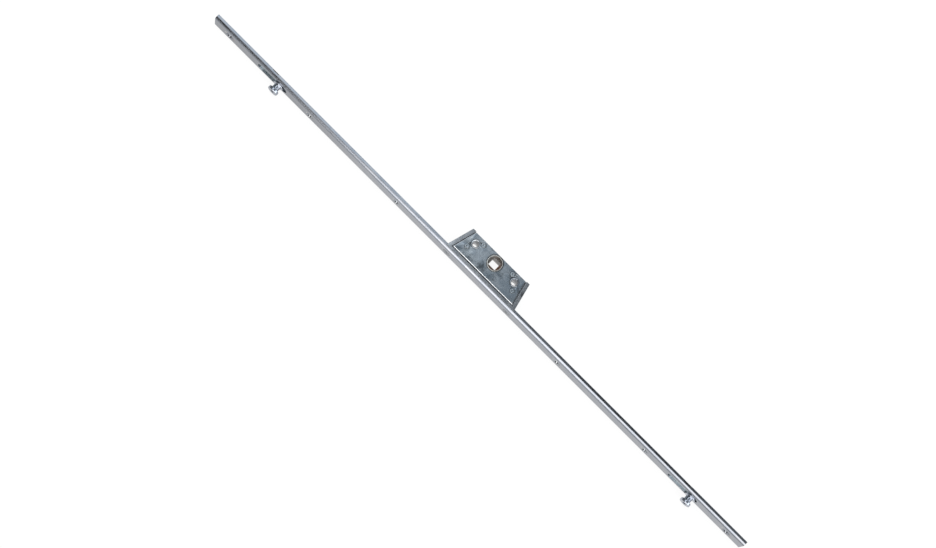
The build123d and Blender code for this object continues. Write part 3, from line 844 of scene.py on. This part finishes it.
@dataclass(frozen=True)
class TurnedPart:
    """A turned part on one or more stations, made by a Geometry Nodes tree."""

    name: str
    profile: tuple[Corner, ...]
    stations: tuple[Vector3, ...]
    facing: Facing
    ring: bool = False
    key_radius: float = 0.0
    segments: int = 48

    def tree(self) -> bpy.types.NodeTree:
        """The tree: a rounded profile, turned about its axis, on every station.

        Returns:
            The tree, with named inputs for its sizes.
        """
        tree = bpy.data.node_groups.new(f"{self.name}_turning", "GeometryNodeTree")
        face = tree.interface
        face.new_socket("Geometry", in_out="OUTPUT", socket_type="NodeSocketGeometry")
        face.new_socket("Stations", in_out="INPUT", socket_type="NodeSocketGeometry")
        for label, kind in (("Turn", "Vector"), ("Segments", "Int"), ("Key Radius", "Float"), ("Metal", "Material")):
            face.new_socket(label, in_out="INPUT", socket_type=f"NodeSocket{kind}")
        for number in range(len(self.profile)):
            face.new_socket(f"Corner {number + 1}", in_out="INPUT", socket_type="NodeSocketVector")
        wiring = Wiring(tree)
        given = wiring.node("NodeGroupInput").outputs
        outline = self.outline(wiring, given)
        turned = self.turn(wiring, given, outline)
        rotation = wiring.node("FunctionNodeEulerToRotation", {0: given["Turn"]}).outputs[0]
        placed = wiring.node("GeometryNodeInstanceOnPoints", {
            "Points": given["Stations"], "Instance": turned, "Rotation": rotation}).outputs[0]
        real = wiring.node("GeometryNodeRealizeInstances", {0: placed}).outputs[0]
        dressed = wiring.node("GeometryNodeSetMaterial", {"Geometry": real, "Material": given["Metal"]}).outputs[0]
        wiring.node("NodeGroupOutput", {0: dressed})
        return tree

    def outline(self, wiring: Wiring, given: bpy.types.NodeOutputs) -> Socket:
        """The profile as a curve in the XZ plane, with rounded corners.

        Args:
            wiring: The tree.
            given: The tree's inputs.

        Returns:
            The curve.
        """
        count = len(self.profile)
        line = wiring.node("GeometryNodeCurvePrimitiveLine").outputs[0]
        points = wiring.node("GeometryNodeResampleCurve", {"Curve": line, "Count": count}).outputs[0]
        index = wiring.node("GeometryNodeInputIndex").outputs[0]
        chooser = wiring.node("GeometryNodeIndexSwitch", data_type="VECTOR")
        while len(chooser.index_switch_items) < count:
            chooser.index_switch_items.new()
        wiring.feed(chooser.inputs[0], index)
        for number in range(count):
            wiring.feed(chooser.inputs[number + 1], given[f"Corner {number + 1}"])
        radius, rounding, height = wiring.parts(chooser.outputs[0])
        shaped = wiring.node("GeometryNodeSetPosition", {
            "Geometry": points, "Position": wiring.whole(radius, 0.0, height)}).outputs[0]
        closed = wiring.node("GeometryNodeSetSplineCyclic", {"Geometry": shaped, "Cyclic": self.ring}).outputs[0]
        rounder = wiring.node("GeometryNodeFilletCurve", mode="POLY")
        for label, value in (("Curve", closed), ("Count", 3), ("Radius", rounding), ("Limit Radius", True)):
            wiring.feed(rounder.inputs[label], value)
        return rounder.outputs[0]

    def turn(self, wiring: Wiring, given: bpy.types.NodeOutputs, outline: Socket) -> Socket:
        """Turns the profile about Z. Inside the key radius the section is a hexagon.

        Args:
            wiring: The tree.
            given: The tree's inputs.
            outline: The profile.

        Returns:
            The closed mesh.
        """
        size = wiring.node("GeometryNodeAttributeDomainSize", {0: outline}, component="CURVE").outputs["Point Count"]
        rows = wiring.plus(size, 1.0 if self.ring else 0.0)
        grid = wiring.node("GeometryNodeMeshGrid", {
            "Size X": 1.0, "Size Y": 1.0, "Vertices X": rows,
            "Vertices Y": wiring.plus(given["Segments"], 1.0)}).outputs["Mesh"]
        place = wiring.node("GeometryNodeInputPosition").outputs[0]
        along, around, _ = wiring.parts(place)
        row = wiring.math("ROUND", wiring.times(wiring.plus(along, 0.5), wiring.minus(rows, 1.0)))
        row = wiring.math("MODULO", row, size)
        angle = wiring.times(wiring.plus(around, 0.5), 2 * math.pi)
        sampler = wiring.node("GeometryNodeSampleIndex", {"Geometry": outline}, data_type="FLOAT_VECTOR",
                              domain="POINT")
        wiring.feed(sampler.inputs["Value"], place)
        wiring.feed(sampler.inputs["Index"], row)
        radius, _, height = wiring.parts(sampler.outputs[0])
        sixth = wiring.minus(wiring.math("MODULO", angle, math.pi / 3), math.pi / 6)
        flat = wiring.math("DIVIDE", math.cos(math.pi / 6), wiring.math("COSINE", sixth))
        in_key = wiring.math("LESS_THAN", radius, wiring.plus(given["Key Radius"], 0.001 * MM))
        squeeze = wiring.plus(wiring.times(in_key, wiring.minus(flat, 1.0)), 1.0)
        reach = wiring.times(radius, squeeze)
        spot = wiring.whole(
            wiring.times(reach, wiring.math("COSINE", angle)),
            wiring.times(reach, wiring.math("SINE", angle)), height)
        shaped = wiring.node("GeometryNodeSetPosition", {"Geometry": grid, "Position": spot}).outputs[0]
        about = wiring.scaled(wiring.whole(radius, height), 1 / MM)
        marked = wiring.node("GeometryNodeStoreNamedAttribute", {
            "Geometry": shaped, "Name": TURNED, "Value": about}, data_type="FLOAT_VECTOR", domain="POINT")
        return wiring.node("GeometryNodeMergeByDistance", {
            "Geometry": marked.outputs[0], "Distance": MERGE_MM * MM}).outputs[0]

    def build(self, finish: Finish) -> bpy.types.Object:
        """Makes the parts and turns them into one plain mesh.

        Args:
            finish: The metal that they are made of.

        Returns:
            The object, not yet on a body.
        """
        points = bpy.data.meshes.new(self.name)
        points.from_pydata([[c * MM for c in s] for s in self.stations], [], [])
        piece = new_object(self.name, points)
        tree = self.tree()
        values = {"Turn": self.facing.value, "Segments": self.segments, "Key Radius": self.key_radius * MM,
                  "Metal": finish.material()}
        for number, corner in enumerate(self.profile):
            values[f"Corner {number + 1}"] = (corner.radius * MM, corner.rounding * MM, corner.height * MM)
        modifier = piece.modifiers.new("turning", "NODES")
        modifier.node_group = tree
        for item in tree.interface.items_tree:
            if item.in_out == "INPUT" and item.name in values:
                modifier[item.identifier] = values[item.name]
        settle(piece)
        work = bmesh.new()
        work.from_mesh(piece.data)
        bmesh.ops.recalc_face_normals(work, faces=work.faces)
        for side in work.faces:
            side.smooth = True
        work.to_mesh(piece.data)
        work.free()
        piece.data.set_sharp_from_angle(angle=math.radians(SHARP_TURN_DEG))
        return piece


def join(name: str, parts: list[bpy.types.Object]) -> bpy.types.Object:
    """Joins parts of one body into one object.

    Args:
        name: Name of the result.
        parts: The objects to join, all of one finish.

    Returns:
        The joined object.
    """
    work = bmesh.new()
    for part in parts:
        work.from_mesh(part.data)
    whole = parts[0]
    for part in parts[1:]:
        bpy.data.objects.remove(part)
    work.to_mesh(whole.data)
    work.free()
    whole.name = whole.data.name = name
    return whole


def along_rail(stations: tuple[float, ...]) -> tuple[Vector3, ...]:
    """Places on the X axis, by their distance from the spindle in millimetres."""
    return tuple((x, 0.0, 0.0) for x in stations)


@dataclass(frozen=True)
class Rail:
    """The long channel, its flared guide bushes and the rivets that hold the case."""

    face: float = RAIL_FACE
    wall: float = 1.5
    hole_radius: float = 2.7
    sink_depth: float = 1.3
    bush_stations: tuple[float, ...] = RAIL_SCREWS
    bush_radius: float = 4.2
    bush_bore: float = 2.3
    bush_flange: float = 6.0
    flange_top: float = 16.2
    flange_thickness: float = 0.7
    rivet_stations: tuple[float, ...] = RAIL_RIVETS
    rivet_radius: float = 1.9
    rivet_head: float = 3.2
    rivet_end: float = 12.0
    punch_radius: float = 1.3
    punch_depth: float = 0.3

    def build_bushes(self) -> bpy.types.Object:
        """Makes the four guide bushes, flared into the countersinks.

        Returns:
            The bushes, as one piece.
        """
        sink_radius = self.hole_radius + self.sink_depth
        lip = self.hole_radius - self.bush_bore
        flange_foot = self.flange_top - self.flange_thickness
        profile = (
            Corner(sink_radius - lip, self.face, 0.1), Corner(sink_radius, self.face, 0.05),
            Corner(self.hole_radius, self.face - self.sink_depth), Corner(self.hole_radius, self.face - self.wall),
            Corner(self.bush_radius, self.face - self.wall), Corner(self.bush_radius, self.flange_top, 0.2),
            Corner(self.bush_flange, self.flange_top, 0.12), Corner(self.bush_flange, flange_foot, 0.12),
            Corner(self.bush_bore, flange_foot, 0.15), Corner(self.bush_bore, self.face - self.sink_depth, 0.5),
        )
        stations = along_rail(self.bush_stations)
        bushes = TurnedPart("guide_bushes", profile, stations, Facing.RAIL_FRONT, ring=True).build(BUSH_PLATE)
        nodes = [f"guide_bush_{number + 1}" for number in range(len(self.bush_stations))]
        return hand_over(bushes, Body.FRAME, Slot.BUSH, *nodes)

    def build_rivets(self) -> bpy.types.Object:
        """Makes the two rivets, flush with the rail's face and centre punched.

        Returns:
            The rivets, as one piece.
        """
        sink = self.rivet_head - self.rivet_radius
        profile = (
            Corner(0.0, self.face - self.punch_depth), Corner(self.punch_radius - self.punch_depth,
                                                              self.face - self.punch_depth, 0.15),
            Corner(self.punch_radius, self.face, 0.1), Corner(self.rivet_head, self.face, 0.06),
            Corner(self.rivet_radius, self.face - sink), Corner(self.rivet_radius, self.rivet_end, 0.2),
            Corner(0.0, self.rivet_end),
        )
        stations = along_rail(self.rivet_stations)
        rivets = TurnedPart("case_rivets_flush", profile, stations, Facing.RAIL_FRONT).build(RIVET_STEEL)
        return hand_over(rivets, Body.FRAME, Slot.RIVET, "case_rivets")

    def build(self) -> None:
        """Builds and dresses everything that belongs to the rail."""
        SoftEdged("rail", "rail_channel", Body.FRAME, Slot.RAIL, RAIL_PLATE, edge_mm=0.1).build()
        self.build_bushes()
        self.build_rivets()


@dataclass(frozen=True)
class DriveTrain:
    """The sliding bar with its rack, rivets and cam washers."""

    def build(self) -> None:
        """Dresses the bar and what is fixed to it."""
        SoftEdged("drive_bar", "drive_bar_strip", Body.SLIDER, Slot.BAR, BAR_PLATE, edge_mm=0.12).build()
        SoftEdged("rack", "rack_pressed", Body.SLIDER, Slot.RACK, RACK_STEEL, edge_mm=0.08).build()
        for node in ("rack_rivets", "cam_washer_left", "cam_washer_right"):
            dress_node(node, RIVET_STEEL)


@dataclass(frozen=True)
class Cam:
    """One locking cam: eccentric head and shaft on a riveted shank, with its collar."""

    side: str
    body: Body
    station: float
    offset: float = -0.6
    head_radius: float = 4.75
    head_face: float = 27.5
    head_thickness: float = 2.4
    neck_flare: float = 0.6
    shaft_radius: float = 3.0
    key_flats: float = 3.0
    key_depth: float = 1.8
    shank_radius: float = 2.5
    guide_radius: float = 5.0
    guide_foot: float = 18.45
    collar_radius: float = 5.0
    collar_face: float = 21.1
    collar_thickness: float = 1.0
    peen_radius: float = 3.5
    peen_top: float = 15.85
    peen_thickness: float = 0.5

    def head(self) -> bpy.types.Object:
        """Makes the shaft and mushroom head, off the shank's axis, with a hexagonal key socket.

        Returns:
            The object, not yet on its body.
        """
        neck = self.head_face - self.head_thickness
        key = self.key_flats / math.sqrt(3)
        profile = (
            Corner(0.0, self.collar_face - 0.2), Corner(self.shaft_radius, self.collar_face - 0.2),
            Corner(self.shaft_radius, neck - self.neck_flare, 0.5), Corner(self.head_radius, neck, 0.15),
            Corner(self.head_radius, self.head_face, 0.55), Corner(key + 0.25, self.head_face, 0.1),
            Corner(key, self.head_face - 0.2), Corner(key, self.head_face - self.key_depth),
            Corner(0.0, self.head_face - self.key_depth - 0.3),
        )
        place = ((self.station, 0.0, self.offset),)
        return TurnedPart(f"{self.side}_cam_head", profile, place, Facing.RAIL_FRONT, key_radius=key).build(CAM_POLISH)

    def shank(self) -> bpy.types.Object:
        """Makes the shank, with its guide in the slot and its peened tail behind the bar.

        Returns:
            The object, not yet on its body.
        """
        collar_foot = self.collar_face - self.collar_thickness
        peen_foot = self.peen_top - self.peen_thickness
        profile = (
            Corner(0.0, peen_foot + 0.25), Corner(0.9, peen_foot + 0.25, 0.2), Corner(1.3, peen_foot, 0.1),
            Corner(self.peen_radius, peen_foot, 0.3), Corner(self.peen_radius, self.peen_top, 0.1),
            Corner(self.shank_radius, self.peen_top), Corner(self.shank_radius, self.guide_foot),
            Corner(self.guide_radius, self.guide_foot, 0.1), Corner(self.guide_radius, collar_foot),
            Corner(self.shank_radius, collar_foot), Corner(self.shank_radius, self.collar_face),
            Corner(0.0, self.collar_face),
        )
        place = along_rail((self.station,))
        return TurnedPart(f"{self.side}_cam_shank", profile, place, Facing.RAIL_FRONT).build(CAM_POLISH)

    def collar(self) -> bpy.types.Object:
        """Makes the collar that hides the slot under the cam.

        Returns:
            The object, not yet on its body.
        """
        foot = self.collar_face - self.collar_thickness
        profile = (
            Corner(self.shank_radius, foot), Corner(self.collar_radius, foot, 0.1),
            Corner(self.collar_radius, self.collar_face, 0.35), Corner(self.shank_radius, self.collar_face),
        )
        place = along_rail((self.station,))
        part = TurnedPart(f"{self.side}_cam_collar", profile, place, Facing.RAIL_FRONT, ring=True)
        return part.build(CAM_POLISH)

    def build(self) -> None:
        """Builds and dresses the cam."""
        stud = join(f"{self.side}_cam_stud", [self.head(), self.shank()])
        hand_over(stud, self.body, Slot.CAM, f"cam_{self.side}")
        hand_over(self.collar(), self.body, Slot.CAM, f"cam_collar_{self.side}")


@dataclass(frozen=True)
class Gearbox:
    """The die-cast case with its cover, follower, screw bushes and studs."""

    panel: float = PANEL
    screw_stations: tuple[float, ...] = SCREW_STATIONS
    screw_bore: float = 2.65
    bush_radius: float = 3.75
    bush_proud: float = 0.2
    lead_in: float = 0.45
    relief_radius: float = 3.2
    relief_depth: float = 1.5
    stud_places: tuple[tuple[float, float], ...] = STUD_PLACES
    stud_radius: float = 1.4
    stud_head: float = 2.0
    stud_proud: float = 0.25
    stud_length: float = 6.5
    dimple: float = 0.8
    ejector_places: tuple[tuple[float, float], ...] = ((13.5, -10.5), (27.5, 2.5))
    ejector_radius: float = 1.6
    ejector_proud: float = 0.06

    def mirrored(self, places: tuple[tuple[float, float], ...]) -> tuple[Vector3, ...]:
        """Each place on both sides of the spindle."""
        return tuple((side * x, y, 0.0) for x, y in places for side in (-1, 1))

    def build_bushes(self) -> bpy.types.Object:
        """Makes the two bushes for the handle screws.

        Returns:
            The bushes, as one piece.
        """
        face = self.panel + self.bush_proud
        relief_top = self.relief_depth - self.panel
        profile = (
            Corner(self.relief_radius, -self.panel, 0.1), Corner(self.bush_radius, -self.panel, 0.15),
            Corner(self.bush_radius, face, 0.3), Corner(self.screw_bore + self.lead_in, face, 0.15),
            Corner(self.screw_bore, face - self.lead_in, 0.15), Corner(self.screw_bore, relief_top, 0.1),
            Corner(self.relief_radius, relief_top),
        )
        stations = along_rail(self.screw_stations)
        bushes = TurnedPart("screw_bushes", profile, stations, Facing.COVER_SIDE, ring=True).build(BORE_PLATE)
        return hand_over(bushes, Body.FRAME, Slot.BUSH, "screw_bush_left", "screw_bush_right")

    def build_studs(self) -> bpy.types.Object:
        """Makes the four dimpled rivets that hold the cover.

        Returns:
            The rivets, as one piece.
        """
        profile = (
            Corner(0.0, self.panel - self.stud_length), Corner(self.stud_radius, self.panel - self.stud_length, 0.2),
            Corner(self.stud_radius, self.panel - 0.05), Corner(self.stud_head, self.panel - 0.05),
            Corner(self.stud_head, self.panel + self.stud_proud, 0.2),
            Corner(self.dimple + 0.1, self.panel + self.stud_proud, 0.1), Corner(self.dimple, self.panel, 0.1),
            Corner(0.0, self.panel),
        )
        places = self.mirrored(self.stud_places)
        studs = TurnedPart("cover_studs", profile, places, Facing.COVER_SIDE, segments=36).build(STUD_CAST)
        return hand_over(studs, Body.FRAME, Slot.CASE, "cover_rivets")

    def build_ejector_marks(self) -> bpy.types.Object:
        """Makes the round marks that the die's ejector pins leave on the back of the casting.

        Returns:
            The marks, as one piece.
        """
        back = -self.panel
        profile = (
            Corner(self.ejector_radius - 0.25, back + 0.1), Corner(self.ejector_radius, back + 0.1),
            Corner(self.ejector_radius, back - self.ejector_proud, 0.04),
            Corner(self.ejector_radius - 0.25, back - self.ejector_proud, 0.04),
        )
        places = self.mirrored(self.ejector_places)
        marks = TurnedPart("ejector_marks", profile, places, Facing.COVER_SIDE, ring=True, segments=36)
        return hand_over(marks.build(CASE_CAST), Body.FRAME, Slot.CASE)

    def build(self) -> None:
        """Builds and dresses the gearbox."""
        SoftEdged("gear_case", "gear_case_casting", Body.FRAME, Slot.CASE, CASE_CAST, edge_mm=0.15).build()
        SoftEdged("case_cover", "case_cover_sheet", Body.FRAME, Slot.COVER, COVER_CAST, edge_mm=0.05,
                  roll_mm=0.4).build()
        SoftEdged("follower", "follower_gear", Body.FOLLOWER, Slot.FOLLOWER, FOLLOWER_BRONZE, edge_mm=0.1).build()
        self.build_bushes()
        self.build_studs()
        self.build_ejector_marks()


@dataclass(frozen=True)
class Sky:
    """Soft room light by direction: a bright wall in front that ends to -X, a sloping ceiling and a panel overhead.

    The levels run along X. They pass from low to high with Z in front, and to the overhead panel with Y.
    """

    low: tuple[Ramp, Ramp] = (Ramp(-0.15, -0.08, 0.25, 3.0), Ramp(0.0, 0.07, 3.0, 0.1))
    middle: tuple[Ramp, Ramp] = (Ramp(-0.16, -0.07, 0.03, 3.4), Ramp(0.02, 0.08, 3.4, 2.6))
    high: Ramp = Ramp(-0.18, 0.03, 0.15, 2.4)
    overhead: tuple[Ramp, Ramp] = (Ramp(-0.07, 0.005, 1.4, 0.02), Ramp(0.1, 0.16, 0.0, 0.3))
    to_middle: Ramp = Ramp(0.1, 0.6)
    to_high: Ramp = Ramp(0.75, 0.95)
    to_overhead: Ramp = Ramp(-0.1, 0.03)
    to_room: Ramp = Ramp(0.3, 0.5)
    to_window: Ramp = Ramp(0.6, 0.8)
    to_shade: Ramp = Ramp(-0.3, -0.6)
    room_level: float = 0.62
    window_level: float = 2.4
    shade_level: float = 0.18
    wall_colour: Colour = (1.0, 0.985, 0.965)
    overhead_colour: Colour = (0.88, 0.95, 1.0)

    def build(self) -> None:
        """Makes the room the scene's world, plain white where the camera looks past the object."""
        world = bpy.data.worlds.new("studio_room")
        world.use_nodes = True
        wiring = Wiring(world.node_tree)
        wiring.tree.nodes.clear()
        x, y, z = wiring.parts(wiring.node("ShaderNodeTexCoord").outputs["Generated"])
        low = wiring.least(*(wiring.ramp(x, ramp) for ramp in self.low))
        middle = wiring.least(*(wiring.ramp(x, ramp) for ramp in self.middle))
        high = wiring.ramp(x, self.high, "LINEAR")
        over = wiring.plus(*(wiring.ramp(x, ramp) for ramp in self.overhead))
        above = wiring.ramp(y, self.to_overhead)
        level = wiring.between(wiring.ramp(z, self.to_middle), low, middle)
        level = wiring.between(wiring.ramp(z, self.to_high), level, high)
        level = wiring.between(above, level, over)
        level = wiring.between(wiring.ramp(y, self.to_room), level, self.room_level)
        level = wiring.between(wiring.ramp(x, self.to_window), level, self.window_level)
        level = wiring.between(wiring.ramp(x, self.to_shade), level, self.shade_level)
        colour = wiring.node("ShaderNodeMix", {0: above, 6: self.wall_colour, 7: self.overhead_colour},
                             data_type="RGBA").outputs[2]
        light = wiring.node("ShaderNodeBackground", {"Color": colour, "Strength": level}).outputs[0]
        white = wiring.node("ShaderNodeBackground", {"Color": (1.0, 1.0, 1.0), "Strength": 1.0}).outputs[0]
        seen = wiring.node("ShaderNodeLightPath").outputs["Is Camera Ray"]
        mix = wiring.node("ShaderNodeMixShader", {0: seen, 1: light, 2: white}).outputs[0]
        wiring.node("ShaderNodeOutputWorld", {"Surface": mix})
        bpy.context.scene.world = world


@dataclass(frozen=True)
class Studio:
    """Pale floor, soft light and the camera at the photo's angle."""

    floor_z: float = -9.0
    floor_radius: float = 6.0
    floor_glow: float = 0.92
    floor_dim: float = 0.65
    floor_fade_mm: tuple[float, float] = (-200.0, -100.0)
    floor_mirror: float = 0.8
    paper: float = 0.9
    lamp_power: float = 30.0
    lamp_size: float = 1.6
    lamp_place: Vector3 = (-0.5, 0.5, 1.8)
    focal_px: float = 1992.0
    back: tuple[float, float] = (0.03589, -0.233445)
    roll_deg: float = 45.471
    aim_mm: tuple[float, float] = (-9.15, -19.91)
    distance_mm: float = 1575.02
    clip: tuple[float, float] = (0.01, 50.0)

    def build_floor(self) -> bpy.types.Object:
        """Makes a plain pale floor that keeps the object's soft shadow.

        Returns:
            The floor.
        """
        mesh = bpy.data.meshes.new("floor")
        work = bmesh.new()
        bmesh.ops.create_circle(work, cap_ends=True, segments=96, radius=self.floor_radius,
                                matrix=Matrix.Translation((0.0, 0.0, self.floor_z * MM)))
        work.to_mesh(mesh)
        work.free()
        floor = new_object("floor", mesh)
        material = bpy.data.materials.new("floor_paper")
        material.use_nodes = True
        wiring = Wiring(material.node_tree)
        wiring.tree.nodes.clear()
        path = wiring.node("ShaderNodeLightPath").outputs
        in_metal = wiring.most(path["Is Glossy Ray"], path["Is Transmission Ray"])
        x, _, _ = wiring.parts(wiring.node("ShaderNodeTexCoord").outputs["Object"])
        dim, full = (end * MM for end in self.floor_fade_mm)
        mirrored = wiring.times(in_metal, wiring.remap(x, dim, full, self.floor_dim, self.floor_mirror))
        level = wiring.most(path["Is Camera Ray"], mirrored)
        paper = wiring.node("ShaderNodeBsdfDiffuse", {"Color": (self.paper,) * 3}).outputs[0]
        glow = wiring.node("ShaderNodeEmission", {"Color": (1.0, 1.0, 1.0), "Strength": level}).outputs[0]
        seen = wiring.most(path["Is Camera Ray"], in_metal)
        mix = wiring.node("ShaderNodeMixShader", {
            0: wiring.times(seen, self.floor_glow), 1: paper, 2: glow}).outputs[0]
        wiring.node("ShaderNodeOutputMaterial", {"Surface": mix})
        mesh.materials.append(material)
        return floor

    def build_lamp(self) -> bpy.types.Object:
        """Hangs a large soft panel above the object.

        Returns:
            The lamp.
        """
        data = bpy.data.lights.new("overhead_panel", "AREA")
        data.shape = "DISK"
        data.size = self.lamp_size
        data.energy = self.lamp_power
        lamp = new_object("overhead_panel", data)
        lamp.location = self.lamp_place
        lamp.rotation_euler = Vector(lamp.location).to_track_quat("Z", "Y").to_euler()
        lamp.visible_camera = False
        lamp.visible_glossy = False
        return lamp

    def build_camera(self) -> bpy.types.Object:
        """Sets up the camera where the photo was taken from.

        Returns:
            The camera.
        """
        data = bpy.data.cameras.new("photo_camera")
        data.sensor_fit = "HORIZONTAL"
        data.lens = self.focal_px / PHOTO_WIDTH_PX * data.sensor_width
        data.clip_start, data.clip_end = self.clip
        back = Vector((*self.back, math.sqrt(1 - self.back[0] ** 2 - self.back[1] ** 2)))
        level = Vector((0.0, 1.0, 0.0)).cross(back).normalized()
        upright = back.cross(level)
        turn = math.radians(self.roll_deg)
        right = math.cos(turn) * level + math.sin(turn) * upright
        up = math.cos(turn) * upright - math.sin(turn) * level
        camera = new_object("photo_camera", data)
        place = (Vector((*self.aim_mm, 0.0)) + self.distance_mm * back) * MM
        camera.matrix_world = Matrix.Translation(place) @ Matrix((right, up, back)).transposed().to_4x4()
        bpy.context.scene.camera = camera
        return camera

    def build(self) -> None:
        """Sets the stage."""
        self.build_floor()
        Sky().build()
        self.build_lamp()
        self.build_camera()
        bpy.context.scene.view_settings.view_transform = "Standard"


def main() -> None:
    """Builds the lock and its studio."""
    logging.basicConfig(level=logging.INFO, format="%(message)s")
    assemblies = (
        Studio(), Rail(), DriveTrain(),
        Cam("left", Body.LEFT_CAM, -221.755), Cam("right", Body.RIGHT_CAM, 238.445), Gearbox(),
    )
    for assembly in assemblies:
        log.info("building %s", type(assembly).__name__)
        assembly.build()


if __name__ == "__main__":
    main()
